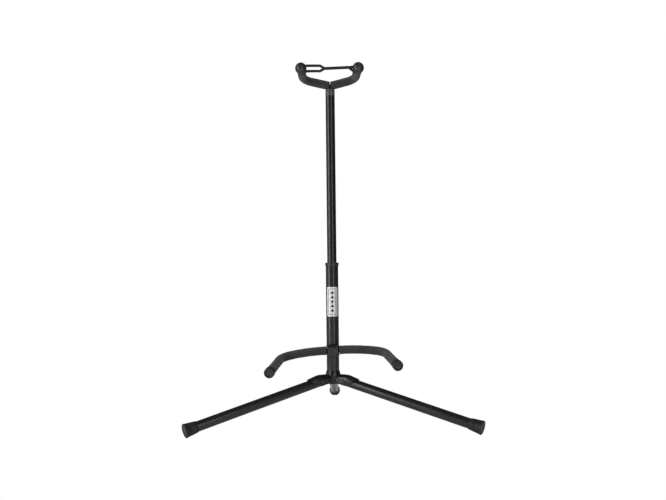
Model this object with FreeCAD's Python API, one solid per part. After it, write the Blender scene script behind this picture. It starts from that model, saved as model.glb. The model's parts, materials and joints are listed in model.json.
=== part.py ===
import FreeCAD, Part
import math
import os

from FreeCAD import Vector

# Folding tripod stand with a telescoping mast, a padded cradle low on the mast and a padded
# yoke with a rubber safety strap at its top. Millimetres, +Z up, front towards -Y.
# Everything is drawn round the mast axis, then moved so that the origin is under the centre
# of the three feet's outline, on the floor.

# feet and legs
leg_azimuths = {"left": 210.0, "right": 330.0, "rear": 89.4}
leg_slope = 13.39
leg_r = 9.525
leg_wall = 1.2
leg_tail = 3.0
leg_insert_length = 16.0
foot_reach = 308.6
foot_end_r = 13.1
foot_mouth_r = 10.35
foot_length = 24.6
foot_end_wall = 3.0
foot_wear = 1.05
pivot_reach = 28.0
rivet_r = 3.0
rivet_head_r = 5.0
rivet_head_height = 2.0
running_gap = 0.05

# leg brackets and hub
plate = 1.5
bracket_gap = 0.35
bracket_root_reach = 8.0
bracket_roof_z = 91.2
bracket_bend_reach = 34.0
bracket_lip_reach = 58.5
bracket_cheek_reach = 40.0
bracket_cheek_z = 71.5
bracket_heel_reach = 33.0
bracket_hem = 2.4
bracket_edge_r = 9.0
bracket_bend_r = 40.0
hub_r = 14.7
hub_bottom = 72.0
hub_top = 98.0

# mast
lower_r = 12.7
lower_wall = 1.5
lower_bottom = 74.0
lower_top = 313.0
upper_r = 9.525
upper_wall = 1.2
upper_bottom = 205.0
upper_top = 664.0
bush_r = 14.0
bush_bottom = 276.0
bush_top = 317.0
guide_bottom = 190.0
guide_spigot = 17.0
label_bottom = 207.4
label_top = 267.2
label_thick = 0.25
label_from = 218.0
label_sweep = 104.0

# height clamp at the back of the mast
lock_height = 296.0
boss_r = 7.0
boss_back = 21.0
stud_length = 24.0
knob_r = 6.0
knob_start = 22.5
knob_length = 14.0
wing_thick = 4.4
wing_r = 5.0
wing_reach = 10.0
wing_back = 31.5

# cradle
cradle_forward = 20.0
cradle_height = 140.3
cradle_roll = 2.6
cradle_shift = 0.1
cradle_knee = (50.0, -20.0, 140.3)
cradle_corner = (102.3, -28.0, 133.0)
cradle_tip = (118.8, -133.0, 115.2)
cradle_bends = [300.0, 28.0]
cradle_foam_start = 13.15
cradle_cap_r = 9.9
cradle_cap_length = 13.0
cap_recess_r = 7.2
cap_recess_deep = 3.2
rod_r = 4.0
foam_r = 8.75
housing_half_width = 12.8
housing_bottom = 129.5
housing_top = 151.5
housing_front = 27.0
housing_wall = 2.0
housing_front_wall = 1.6
housing_edge_r = 5.0
stop_ring_r = 5.2
stop_ring_length = 14.0
stop_ring_ends = (19, 257)
stop_pin_r = 1.5

# yoke
yoke_root = Vector(0, 0, 685.9)
yoke_corners = {"left": Vector(-55.4, -11, 695.8), "right": Vector(52.0, -11, 696.0)}
yoke_tips = {"left": Vector(-57.2, -72, 699.6), "right": Vector(56.4, -72, 699.3)}
yoke_bend_r = 23.0
yoke_foam_start = 2.5
ball_r = 11.3
ball_back = 7.5
ball_grip = 3.0
collar_top = 677.4
collar_slit = 1.3
socket_top = 684.5
socket_depth = 24.0
socket_neck_r = 6.4

# strap
strap_forward = 62.7
strap_thick = 3.0
strap_width = 4.8
strap_single = 5.6
strap_height = 702.4
strap_loop_half = 5.5
strap_loop_x = (-45.7, -19.5)
strap_merge_x = -10.0
strap_flare_x = 37.5
strap_flare_rise = 1.2
eye_r = {"left": 9.0, "right": 9.3}
eye_hole_r = {"left": 4.3, "right": 5.0}
right_eye_shift = (-0.4, 0.7)

up = Vector(0, 0, 1)
forward = Vector(0, -1, 0)
backward = Vector(0, 1, 0)
rightward = Vector(1, 0, 0)
pieces = {}


def tube(outer_r, inner_r, bottom, top):
    outer = Part.makeCylinder(outer_r, top - bottom, Vector(0, 0, bottom))
    return outer.cut(Part.makeCylinder(inner_r, top - bottom, Vector(0, 0, bottom)))


def turned(profile):
    """A solid of revolution round Z from (radius, height) points."""
    corners = [Vector(r, 0, z) for r, z in profile]
    face = Part.Face(Part.makePolygon(corners + corners[:1]))
    return face.revolve(Vector(), up, 360)


def bent_path(points, radii):
    """Straight runs joined by tangent arcs, one radius for each inner point."""
    edges = []
    start = points[0]
    for before, corner, after, radius in zip(points, points[1:], points[2:], radii):
        back = (before - corner).normalize()
        ahead = (after - corner).normalize()
        half = back.getAngle(ahead) / 2
        reach = radius / math.tan(half)
        inward = (back + ahead).normalize()
        middle = corner + inward * (radius / math.sin(half) - radius)
        arc_start = corner + back * reach
        arc_end = corner + ahead * reach
        edges.append(Part.LineSegment(start, arc_start).toShape())
        edges.append(Part.Arc(arc_start, middle, arc_end).toShape())
        start = arc_end
    edges.append(Part.LineSegment(start, points[-1]).toShape())
    return Part.Wire(edges)


def round_bar(points, radii, bar_r):
    path = bent_path(points, radii)
    along = points[1] - points[0]
    section = Part.Wire(Part.makeCircle(bar_r, points[0], along))
    return path.makePipeShell([section], True, False)


# ---- legs: all drawn along +X, then turned to their azimuth ----
slope = math.radians(leg_slope)
leg_along = Vector(math.cos(slope), 0, -math.sin(slope))
foot_centre = Vector(foot_reach, 0, foot_end_r * math.cos(slope) - foot_wear)
pivot = Vector(pivot_reach, 0, foot_centre.z + (foot_reach - pivot_reach) * math.tan(slope))
leg_inner_end = pivot - leg_along * leg_tail
bracket_inner_half = leg_r + bracket_gap
bracket_outer_half = bracket_inner_half + plate


def leg_surface(reach, radius):
    """Height of the leg's top line at a reach, or of its bottom line for a negative radius."""
    return pivot.z - (reach - pivot_reach) * math.tan(slope) + radius / math.cos(slope)


def rivet_hole(radius):
    return Part.makeCylinder(radius, 4 * leg_r, pivot - backward * (2 * leg_r), backward)


def leg_tube():
    length = (foot_centre - leg_inner_end).Length - foot_end_wall
    body = Part.makeCylinder(leg_r, length, leg_inner_end, leg_along)
    body = body.cut(Part.makeCylinder(leg_r - leg_wall, length, leg_inner_end, leg_along))
    return body.cut(rivet_hole(rivet_r + 0.3))


def leg_insert():
    """Plastic plug in the leg's inner end: the rivet runs in it."""
    body = Part.makeCylinder(leg_r - leg_wall, leg_insert_length, leg_inner_end, leg_along)
    return body.cut(rivet_hole(rivet_r + running_gap))


def leg_foot():
    cone = Part.makeCone(foot_end_r, foot_mouth_r, foot_length, foot_centre, -leg_along)
    socket_start = foot_centre - leg_along * foot_end_wall
    socket = Part.makeCylinder(leg_r, foot_length, socket_start, -leg_along)
    floor = Part.makeBox(80, 80, 10, Vector(foot_reach - 40, -40, -10))
    return cone.cut(socket).cut(floor)


def roofed_block(roof, below, half_width, edge_r, bend_r):
    """A block from a side outline of (reach, height) points: a roof with one bend, and what lies below it."""
    roof = [Vector(reach, -half_width, height) for reach, height in roof]
    below = [Vector(reach, -half_width, height) for reach, height in below]
    roof_edges = bent_path(roof, [bend_r]).Edges
    low_edges = Part.makePolygon(roof[-1:] + below + roof[:1]).Edges
    block = Part.Face(Part.Wire(roof_edges + low_edges)).extrude(backward * (2 * half_width))
    roof_low = roof[-1].z - 0.01
    long_edges = []
    for edge in block.Edges:
        first, last = [vertex.Point for vertex in edge.Vertexes]
        if abs(first.y - last.y) < 0.01 and min(first.z, last.z) > roof_low:
            long_edges.append(edge)
    return block.makeFillet(edge_r, long_edges)


def leg_bracket():
    """Pressed channel over the leg's inner end: two cheeks, a level roof and a lip bent down."""
    lip_top = leg_surface(bracket_lip_reach, leg_r + bracket_gap) + plate
    lip_fall = (bracket_roof_z - lip_top) / (bracket_lip_reach - bracket_bend_reach)
    past_lip = bracket_lip_reach + 4
    channel = roofed_block(
        [(bracket_root_reach, bracket_roof_z), (bracket_bend_reach, bracket_roof_z),
         (bracket_lip_reach, lip_top)],
        [(bracket_cheek_reach, bracket_cheek_z),
         (bracket_heel_reach, leg_surface(bracket_heel_reach, -leg_r) + bracket_hem),
         (bracket_root_reach, leg_surface(bracket_root_reach, -leg_r) + bracket_hem)],
        bracket_outer_half, bracket_edge_r, bracket_bend_r)
    ceiling = bracket_roof_z - plate
    room_end = lip_top - plate - (past_lip - bracket_lip_reach) * lip_fall
    room = roofed_block(
        [(bracket_root_reach, ceiling), (bracket_bend_reach, ceiling), (past_lip, room_end)],
        [(past_lip, 0), (bracket_root_reach, 0)],
        bracket_inner_half, bracket_edge_r - plate, bracket_bend_r - plate)
    channel = channel.cut(room)
    channel = channel.cut(Part.makeCylinder(hub_r, hub_top, Vector()))
    return channel.cut(rivet_hole(rivet_r))


def leg_rivet():
    rivet = Part.makeCylinder(rivet_r, 2 * bracket_outer_half, pivot - backward * bracket_outer_half, backward)
    for outward in (forward, backward):
        face_centre = pivot + outward * bracket_outer_half
        head = Part.makeCone(rivet_head_r, rivet_r + 0.2, rivet_head_height, face_centre, outward)
        rivet = rivet.fuse(head)
    return rivet.removeSplitter()


def add_legs():
    for name, azimuth in leg_azimuths.items():
        leg_pieces = {
            "leg_": leg_tube(), "leg_insert_": leg_insert(), "foot_": leg_foot(),
            "leg_bracket_": leg_bracket(), "leg_rivet_": leg_rivet()}
        for kind, shape in leg_pieces.items():
            shape.rotate(Vector(), up, azimuth)
            pieces[kind + name] = shape


# ---- hub and mast ----
lower_inner = lower_r - lower_wall
upper_inner = upper_r - upper_wall


def add_hub():
    pieces["hub_sleeve"] = turned([
        (lower_r, hub_bottom), (hub_r - 0.8, hub_bottom), (hub_r, hub_bottom + 0.8),
        (hub_r, hub_top - 5.0), (lower_r + 0.7, hub_top), (lower_r, hub_top)])
    pieces["bottom_plug"] = turned([
        (0, lower_bottom - 3.4), (7.5, lower_bottom - 2.8), (lower_r - 0.1, lower_bottom - 1.0),
        (lower_r - 0.1, lower_bottom), (lower_inner, lower_bottom), (lower_inner, lower_bottom + 16),
        (0, lower_bottom + 16)])


def screw_hole(hole_r):
    """Round tool that opens the back of the mast at the clamp screw's height."""
    return Part.makeCylinder(hole_r, 40, Vector(0, 0, lock_height), backward)


def add_mast():
    clear_hole = screw_hole(rivet_r + 0.4)
    pieces["lower_tube"] = tube(lower_r, lower_inner, lower_bottom, lower_top).cut(clear_hole)
    bore = upper_r + running_gap
    skirt_bottom = lower_top - 3.2
    pieces["collar_bush"] = turned([
        (bore, bush_bottom), (lower_inner, bush_bottom), (lower_inner, lower_top), (lower_r, lower_top),
        (lower_r, skirt_bottom), (bush_r - 0.7, skirt_bottom), (bush_r, bush_top - 1.0),
        (bush_r - 0.8, bush_top), (bore, bush_top)]).cut(clear_hole)
    pieces["upper_tube"] = tube(upper_r, upper_inner, upper_bottom, upper_top)
    slider_r = lower_inner - running_gap
    spigot_r = upper_inner - running_gap
    shoulder = upper_bottom - 0.2
    pieces["mast_guide"] = turned([
        (0, guide_bottom), (slider_r - 0.6, guide_bottom), (slider_r, guide_bottom + 1),
        (slider_r, shoulder), (spigot_r, shoulder), (spigot_r, upper_bottom + guide_spigot),
        (0, upper_bottom + guide_spigot)])
    band = tube(lower_r + label_thick, lower_r, label_bottom, label_top)
    wedge = Part.makeCylinder(2 * lower_r, label_top, Vector(), up, label_sweep)
    wedge.rotate(Vector(), up, label_from)
    pieces["label"] = band.common(wedge)


def add_lock():
    """Weld boss and wing screw at the back of the mast."""
    boss = Part.makeCylinder(boss_r, boss_back, Vector(0, 0, lock_height), backward)
    boss = boss.cut(Part.makeCylinder(lower_r, lower_top, Vector()))
    pieces["lock_boss"] = boss.cut(screw_hole(rivet_r + running_gap))
    stud_start = Vector(0, upper_r + 0.1, lock_height)
    pieces["lock_stud"] = Part.makeCylinder(rivet_r, stud_length, stud_start, backward)
    knob = Part.makeCylinder(knob_r, knob_length, Vector(0, knob_start, lock_height), backward)
    wing_corner = Vector(-wing_thick / 2, wing_back - wing_r, lock_height - wing_reach)
    knob = knob.fuse(Part.makeBox(wing_thick, 2 * wing_r, 2 * wing_reach, wing_corner))
    for side in (-1, 1):
        tip_centre = Vector(-wing_thick / 2, wing_back, lock_height + side * wing_reach)
        knob = knob.fuse(Part.makeCylinder(wing_r, wing_thick, tip_centre, rightward))
    pieces["lock_wing"] = knob.removeSplitter().cut(pieces["lock_stud"])


# ---- cradle: drawn level, then rolled about the mast's front-back axis ----
def cradle_rolled(shape):
    shape.rotate(Vector(0, 0, cradle_height), forward, cradle_roll)
    return shape


def cradle_placed(shape):
    shape.translate(rightward * cradle_shift)
    return cradle_rolled(shape)


def cradle_points(start, side, stop_short):
    """One half of the bar's route, from beside the mast to short of the tip."""
    straight = Vector(side * start, -cradle_forward, cradle_height)
    knee, corner, tip = [Vector(side * x, y, z) for x, y, z in (cradle_knee, cradle_corner, cradle_tip)]
    return [straight, knee, corner, tip + (corner - tip).normalize() * stop_short]


def cradle_cap(side):
    corner, tip = cradle_points(0, side, 0)[2:]
    inward = (corner - tip).normalize()
    cap = Part.makeCylinder(cradle_cap_r, cradle_cap_length, tip, inward)
    rims = [e for e in cap.Edges if abs(e.Length - 2 * math.pi * cradle_cap_r) < 0.01]
    cap = cap.makeFillet(2.0, rims)
    cap = cap.cut(Part.makeCylinder(rod_r, cradle_cap_length, tip + inward * 4, inward))
    return cap.cut(Part.makeCylinder(cap_recess_r, cap_recess_deep, tip, inward))


def add_cradle():
    right = cradle_points(0, 1, 4)
    left = cradle_points(0, -1, 4)
    bar = round_bar(left[:0:-1] + right[1:], cradle_bends[::-1] + cradle_bends, rod_r)
    pieces["cradle_bar"] = cradle_placed(bar)
    for name, side in (("left", -1), ("right", 1)):
        route = cradle_points(cradle_foam_start, side, cradle_cap_length)
        foam = round_bar(route, cradle_bends, foam_r).cut(round_bar(route, cradle_bends, rod_r))
        pieces["cradle_foam_" + name] = cradle_placed(foam)
        pieces["cradle_cap_" + name] = cradle_placed(cradle_cap(side))


def add_cradle_bracket():
    """Domed housing welded to the mast: the cradle bar turns in its two cheeks."""
    width = 2 * housing_half_width
    height = housing_top - housing_bottom
    block_corner = Vector(-housing_half_width, -housing_front, housing_bottom)
    block = Part.makeBox(width, housing_front, height, block_corner)
    rounded = []
    for edge in block.Edges:
        centre = edge.CenterOfMass
        on_front = abs(centre.y + housing_front) < 0.01 and centre.z > housing_bottom + 1
        top_side = abs(centre.z - housing_top) < 0.01 and abs(centre.x) > 1
        if on_front or top_side:
            rounded.append(edge)
    block = block.makeFillet(housing_edge_r, rounded)
    room_width = width - 2 * housing_wall
    room_corner = Vector(-room_width / 2, housing_front_wall - housing_front, housing_bottom)
    block = block.cut(Part.makeBox(room_width, housing_front, height - housing_wall, room_corner))
    bore_start = Vector(-width, -cradle_forward, cradle_height)
    block = block.cut(Part.makeCylinder(rod_r + running_gap, 2 * width, bore_start, rightward))
    block = cradle_rolled(block).cut(Part.makeCylinder(lower_r, lower_top, Vector()))
    front_half = Part.makeBox(room_width, housing_front, lower_top, Vector(-room_width / 2, -housing_front, 0))
    saddle = tube(lower_r + 1.8, lower_r, housing_bottom, housing_top - 2).common(front_half)
    pieces["cradle_bracket"] = block.fuse(saddle).removeSplitter()


def add_cradle_stop():
    """A fixed cross pin in the housing and a C-shaped ring on the bar that comes to rest on it."""
    pin_drop = rod_r + stop_pin_r + 0.15
    pin_half = housing_half_width - housing_wall
    pin_start = Vector(-pin_half, -cradle_forward, cradle_height - pin_drop)
    pin = Part.makeCylinder(stop_pin_r, 2 * pin_half, pin_start, rightward)
    pieces["cradle_stop_pin"] = cradle_rolled(pin)
    ring_start = Vector(-stop_ring_length / 2, -cradle_forward, cradle_height)
    ring = Part.makeCylinder(stop_ring_r, stop_ring_length, ring_start, rightward)
    ring = ring.cut(Part.makeCylinder(rod_r, stop_ring_length, ring_start, rightward))
    first, last = stop_ring_ends
    gap_r = 12.0
    gap_corners = [ring_start]
    for angle in list(range(last, first + 360, 17)) + [first + 360]:
        turn = math.radians(angle)
        gap_corners.append(ring_start - Vector(0, math.sin(turn), math.cos(turn)) * gap_r)
    gap = Part.Face(Part.makePolygon(gap_corners + gap_corners[:1])).extrude(rightward * stop_ring_length)
    pieces["cradle_stop_ring"] = cradle_rolled(ring.cut(gap))


# ---- yoke and strap ----
def arm_point(name, ahead):
    """The point of one straight yoke arm at a given distance in front of the mast."""
    corner = yoke_corners[name]
    tip = yoke_tips[name]
    return corner + (tip - corner) * ((ahead + corner.y) / (corner.y - tip.y))


def add_yoke():
    foam_end = strap_forward - strap_thick / 2 - 1.1
    arm_tools = []
    for name, side in (("left", -1), ("right", 1)):
        corner = yoke_corners[name]
        tip = yoke_tips[name]
        outward = (corner - yoke_root).normalize()
        rod_end = tip + (tip - corner).normalize() * ball_grip
        rod = round_bar([yoke_root, corner, rod_end], [yoke_bend_r], rod_r)
        other_half = Part.makeBox(20, 40, 60, Vector(-0.02 if side < 0 else -19.98, -20, 660))
        pieces["yoke_rod_" + name] = rod.cut(other_half)
        foam_route = [yoke_root + outward * yoke_foam_start, corner, arm_point(name, foam_end)]
        foam = round_bar(foam_route, [yoke_bend_r], foam_r)
        arm_tools.append(Part.makeCylinder(rod_r, 40, yoke_root - outward * 4, outward))
        arm_tools.append(foam)
        rod_room = round_bar([yoke_root - outward, corner, tip], [yoke_bend_r], rod_r)
        pieces["yoke_foam_" + name] = foam.cut(rod_room)
        ball = Part.makeSphere(ball_r, tip)
        ball = ball.cut(Part.makeBox(40, 20, 40, tip + Vector(-20, ball_back, -20)))
        pieces["yoke_ball_" + name] = ball.cut(pieces["yoke_rod_" + name])
    add_socket(arm_tools)


def add_socket(arm_tools):
    """Plug welded in the mast's top, whose neck carries the two rods, and the slit collar on it."""
    head_r = upper_r - 1.2
    socket = turned([
        (0, upper_top - socket_depth), (upper_inner, upper_top - socket_depth), (upper_inner, upper_top),
        (head_r, upper_top), (head_r, collar_top), (socket_neck_r, collar_top), (socket_neck_r, socket_top),
        (0, socket_top)])
    for tool in arm_tools:
        socket = socket.cut(tool)
    pieces["yoke_socket"] = socket
    collar = tube(upper_r + 0.15, head_r, upper_top, collar_top)
    slit = Part.makeBox(collar_slit, 6, collar_top, Vector(-collar_slit / 2, -upper_r - 3, 0))
    pieces["yoke_collar"] = collar.cut(slit)


def strap_disc(centre, radius):
    start = Vector(centre[0], -strap_forward - strap_thick / 2, centre[1])
    return Part.makeCylinder(radius, strap_thick, start, backward)


def strap_strand(start, end, width):
    """A flat strand with round ends between two (x, z) points."""
    first, last = [Vector(x, -strap_forward - strap_thick / 2, z) for x, z in (start, end)]
    side = (last - first).cross(backward).normalize() * (width / 2)
    corners = [first + side, last + side, last - side, first - side]
    strand = Part.Face(Part.makePolygon(corners + corners[:1])).extrude(backward * strap_thick)
    return strand.fuse(strap_disc(start, width / 2)).fuse(strap_disc(end, width / 2))


def add_strap():
    left_neck = arm_point("left", strap_forward)
    right_neck = arm_point("right", strap_forward)
    eyes = {
        "left": (left_neck.x, left_neck.z),
        "right": (right_neck.x + right_eye_shift[0], right_neck.z + right_eye_shift[1])}
    merge = (strap_merge_x, strap_height - 0.5)
    flare = (strap_flare_x, strap_height + strap_flare_rise)
    strap = strap_strand(merge, flare, strap_single)
    for name, eye in eyes.items():
        strap = strap.fuse(strap_disc(eye, eye_r[name]))
    for side in (-1, 1):
        left_end = (eyes["left"][0], eyes["left"][1] + side * (eye_r["left"] - strap_width / 2))
        loop_start = (strap_loop_x[0], strap_height + side * strap_loop_half)
        loop_end = (strap_loop_x[1], strap_height - 0.2 + side * strap_loop_half)
        right_end = (eyes["right"][0] - 5.5, eyes["right"][1] + side * 5.6)
        runs = [(left_end, loop_start), (loop_start, loop_end), (loop_end, merge), (flare, right_end)]
        for start, end in runs:
            strap = strap.fuse(strap_strand(start, end, strap_width))
    for name, eye in eyes.items():
        strap = strap.cut(strap_disc(eye, eye_hole_r[name]))
    pieces["security_strap"] = strap.removeSplitter()
    print("right eye", [round(value, 3) for value in eyes["right"]])


add_legs()
add_hub()
add_mast()
add_lock()
add_cradle()
add_cradle_bracket()
add_cradle_stop()
add_yoke()
add_strap()


def foot_reach_along_y(azimuth):
    """How far a foot's outer rim goes from the mast, front to back."""
    across = abs(math.sin(math.radians(azimuth)))
    return foot_reach * across + foot_end_r * math.sqrt(1 - (across * math.cos(slope)) ** 2)


# the feet's outline sets the origin: the rear foot goes back further than the front ones go forward
mast_y = (foot_reach_along_y(leg_azimuths["left"]) - foot_reach_along_y(leg_azimuths["rear"])) / 2

os.makedirs("parts", exist_ok=True)
for name, shape in pieces.items():
    shape.translate(Vector(0, mast_y, 0))
    shape.exportStep("parts/" + name + ".step")
    if not shape.isValid() or len(shape.Solids) != 1:
        print("check", name, shape.isValid(), len(shape.Solids))

print("mast_y", round(mast_y, 4), "pivot", round(pivot.x, 3), round(pivot.z, 4))
print("pieces", len(pieces))
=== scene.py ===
import json
import math

import bmesh
import bpy
from mathutils import Matrix, Vector, noise


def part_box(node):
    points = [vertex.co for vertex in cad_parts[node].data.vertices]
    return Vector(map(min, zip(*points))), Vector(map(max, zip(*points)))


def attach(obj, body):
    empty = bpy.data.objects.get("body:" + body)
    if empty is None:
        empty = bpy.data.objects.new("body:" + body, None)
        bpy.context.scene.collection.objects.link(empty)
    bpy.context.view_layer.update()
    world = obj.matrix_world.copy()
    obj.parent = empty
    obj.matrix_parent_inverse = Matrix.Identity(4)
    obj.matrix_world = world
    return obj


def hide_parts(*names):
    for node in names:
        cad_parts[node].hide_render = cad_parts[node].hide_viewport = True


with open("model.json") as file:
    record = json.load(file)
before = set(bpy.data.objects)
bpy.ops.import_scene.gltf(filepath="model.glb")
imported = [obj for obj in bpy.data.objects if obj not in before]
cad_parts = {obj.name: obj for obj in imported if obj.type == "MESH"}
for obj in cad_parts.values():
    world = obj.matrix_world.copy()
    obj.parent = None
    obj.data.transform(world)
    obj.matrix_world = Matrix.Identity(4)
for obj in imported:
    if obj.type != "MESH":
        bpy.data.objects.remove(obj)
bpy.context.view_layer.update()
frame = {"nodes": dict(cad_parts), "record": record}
nodes = frame["nodes"]
millimetre = 0.001

lowBody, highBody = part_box("upper_tube")
mastX = (lowBody.x + highBody.x) / 2
mastY = (lowBody.y + highBody.y) / 2
print("stage: frame loaded")


def fromMast(x, forward, height):  # millimetres right of the mast, in front of it and above the floor
    return Vector((mastX + x * millimetre, mastY - forward * millimetre, height * millimetre))


camera = {
    "right": 2.54, "distance": 1337.0, "height": 260.8, "lookUp": 3.5247, "roll": 0.6255,
    "lens": 35.223, "sensor": 36.0,
}


def placeCamera():
    data = bpy.data.cameras.new("standCamera")
    data.lens = camera["lens"]
    data.sensor_width = camera["sensor"]
    data.clip_start = 0.01
    eye = bpy.data.objects.new("standCamera", data)
    bpy.context.scene.collection.objects.link(eye)
    lookUp = math.radians(camera["lookUp"])
    turn = math.radians(camera["roll"])
    ahead = Vector((0, math.cos(lookUp), math.sin(lookUp)))
    level = Vector((1, 0, 0))
    above = level.cross(ahead)
    right = level * math.cos(turn) - above * math.sin(turn)
    top = level * math.sin(turn) + above * math.cos(turn)
    basis = Matrix((right, top, -ahead)).transposed().to_4x4()
    spot = fromMast(camera["right"], camera["distance"], camera["height"])
    eye.matrix_world = Matrix.Translation(spot) @ basis
    bpy.context.scene.camera = eye


placeCamera()
print("stage: camera placed")

studio = {
    "boxes": {  # azimuth from the front in degrees, then metres and watts
        "leftBox": {"azimuth": -58, "distance": 2.0, "height": 0.75, "wide": 0.4, "tall": 2.4, "power": 30},
        "leftWing": {"azimuth": -92, "distance": 2.1, "height": 0.75, "wide": 0.8, "tall": 2.2, "power": 5},
        "rightBox": {"azimuth": 29, "distance": 2.3, "height": 0.8, "wide": 0.22, "tall": 2.4, "power": 14},
        "backBox": {"azimuth": 196, "distance": 2.2, "height": 0.9, "wide": 0.5, "tall": 1.8, "power": 8},
    },
    "unseen": ("backBox", "overhead"),  # these light the piece but don't whiten the tubes' edges and tops
    "overhead": {"forward": 0.3, "height": 2.6, "wide": 2.0, "power": 34},
    "lowPanel": {"forward": 0.86, "height": 0.01, "wide": 1.7, "deep": 0.6, "power": 3.5},
    "surround": 0.05, "floorTone": 0.94, "floorRough": 0.9, "floorShine": 0.05, "floorReach": 9.0,
}


def addArea(name, place, target, wide, tall, power):
    data = bpy.data.lights.new(name, "AREA")
    data.shape = "RECTANGLE"
    data.size = wide
    data.size_y = tall
    data.energy = power
    lamp = bpy.data.objects.new(name, data)
    bpy.context.scene.collection.objects.link(lamp)
    lamp.location = place
    lamp.rotation_euler = (Vector(target) - Vector(place)).to_track_quat("-Z", "Y").to_euler()
    lamp.visible_glossy = name not in studio["unseen"]


def lightStudio():
    for name, box in studio["boxes"].items():
        around = math.radians(box["azimuth"])
        away = Vector((math.sin(around), -math.cos(around), 0)) * box["distance"]
        target = Vector((mastX, mastY, box["height"]))
        addArea(name, target + away, target, box["wide"], box["tall"], box["power"])
    over = studio["overhead"]
    place = (mastX, mastY - over["forward"], over["height"])
    addArea("overhead", place, (mastX, mastY, 0), over["wide"], over["wide"], over["power"])
    low = studio["lowPanel"]
    place = (mastX, mastY - low["forward"], low["height"])
    addArea("lowPanel", place, (place[0], place[1], 1), low["wide"], low["deep"], low["power"])
    world = bpy.data.worlds.new("paleRoom")
    bpy.context.scene.world = world
    world.use_nodes = True
    tree = world.node_tree
    lit = tree.nodes["Background"]
    lit.inputs["Color"].default_value = (1, 1, 1, 1)
    lit.inputs["Strength"].default_value = studio["surround"]
    seen = tree.nodes.new("ShaderNodeBackground")
    seen.inputs["Color"].default_value = (1, 1, 1, 1)
    rays = tree.nodes.new("ShaderNodeLightPath")
    either = tree.nodes.new("ShaderNodeMixShader")
    tree.links.new(rays.outputs["Is Camera Ray"], either.inputs["Fac"])
    tree.links.new(lit.outputs["Background"], either.inputs[1])
    tree.links.new(seen.outputs["Background"], either.inputs[2])
    tree.links.new(either.outputs["Shader"], tree.nodes["World Output"].inputs["Surface"])
    bpy.context.scene.view_settings.view_transform = "Standard"


def layFloor():
    mesh = bpy.data.meshes.new("paleFloor")
    reach = studio["floorReach"]
    corners = [(-reach, -reach, 0), (reach, -reach, 0), (reach, reach, 0), (-reach, reach, 0)]
    mesh.from_pydata(corners, [], [(0, 1, 2, 3)])
    floor = bpy.data.objects.new("paleFloor", mesh)
    bpy.context.scene.collection.objects.link(floor)
    paper = bpy.data.materials.new("palePaper")
    paper.use_nodes = True
    tree = paper.node_tree
    shader = tree.nodes["Principled BSDF"]
    tone = studio["floorTone"]
    shader.inputs["Base Color"].default_value = (tone, tone, tone, 1)
    shader.inputs["Roughness"].default_value = studio["floorRough"]
    shader.inputs["Specular IOR Level"].default_value = studio["floorShine"]
    mesh.materials.append(paper)
    floor.visible_camera = False  # it bounces light, and a leg folded down past it stays in view


lightStudio()
layFloor()
print("stage: light and floor set")


def addNode(tree, kind, values=None, **settings):
    node = tree.nodes.new(kind)
    for key, value in settings.items():
        setattr(node, key, value)
    for key, value in (values or {}).items():
        node.inputs[key].default_value = value
    return node


def newGroup(name, inputs, outputs):
    tree = bpy.data.node_groups.new(name, "ShaderNodeTree")
    for label, start in inputs:
        socket = tree.interface.new_socket(label, in_out="INPUT", socket_type="NodeSocketFloat")
        socket.default_value = start
    for label in outputs:
        tree.interface.new_socket(label, in_out="OUTPUT", socket_type="NodeSocketFloat")
    return tree, tree.nodes.new("NodeGroupInput"), tree.nodes.new("NodeGroupOutput")


def scaledNoise(tree, scaleFrom, detail, roughness=0.5, times=1.0):  # noise in the piece's own space
    place = addNode(tree, "ShaderNodeTexCoord")
    texture = addNode(tree, "ShaderNodeTexNoise", {"Detail": detail, "Roughness": roughness})
    tree.links.new(place.outputs["Object"], texture.inputs["Vector"])
    if times == 1.0:
        tree.links.new(scaleFrom, texture.inputs["Scale"])
    else:
        times = addNode(tree, "ShaderNodeMath", {1: times}, operation="MULTIPLY")
        tree.links.new(scaleFrom, times.inputs[0])
        tree.links.new(times.outputs[0], texture.inputs["Scale"])
    return texture


def ranged(tree, value, low, high, fromLow=0.0, fromHigh=1.0):  # the value mapped to between low and high
    limits = {"From Min": fromLow, "From Max": fromHigh, "To Min": low, "To Max": high}
    node = addNode(tree, "ShaderNodeMapRange", limits)
    tree.links.new(value, node.inputs["Value"])
    return node.outputs[0]


def product(tree, first, second, **settings):
    node = addNode(tree, "ShaderNodeMath", operation="MULTIPLY", **settings)
    tree.links.new(first, node.inputs[0])
    tree.links.new(second, node.inputs[1])
    return node.outputs[0]


def buildPeelGroup():  # sprayed coat: soft dimples with a finer grit over them
    tree, start, end = newGroup("coatPeel", [("Scale", 420.0), ("Grit", 0.35)], ["Height", "Mottle"])
    peel = scaledNoise(tree, start.outputs["Scale"], 2.0)
    grit = scaledNoise(tree, start.outputs["Scale"], 3.0, 0.6, 5.0)
    share = addNode(tree, "ShaderNodeMix", data_type="FLOAT")
    tree.links.new(start.outputs["Grit"], share.inputs["Factor"])
    tree.links.new(peel.outputs["Fac"], share.inputs[2])
    tree.links.new(grit.outputs["Fac"], share.inputs[3])
    tree.links.new(share.outputs[0], end.inputs["Height"])
    patches = scaledNoise(tree, start.outputs["Scale"], 4.0, 0.62, 0.06)
    tree.links.new(patches.outputs["Fac"], end.inputs["Mottle"])
    return tree


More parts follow.
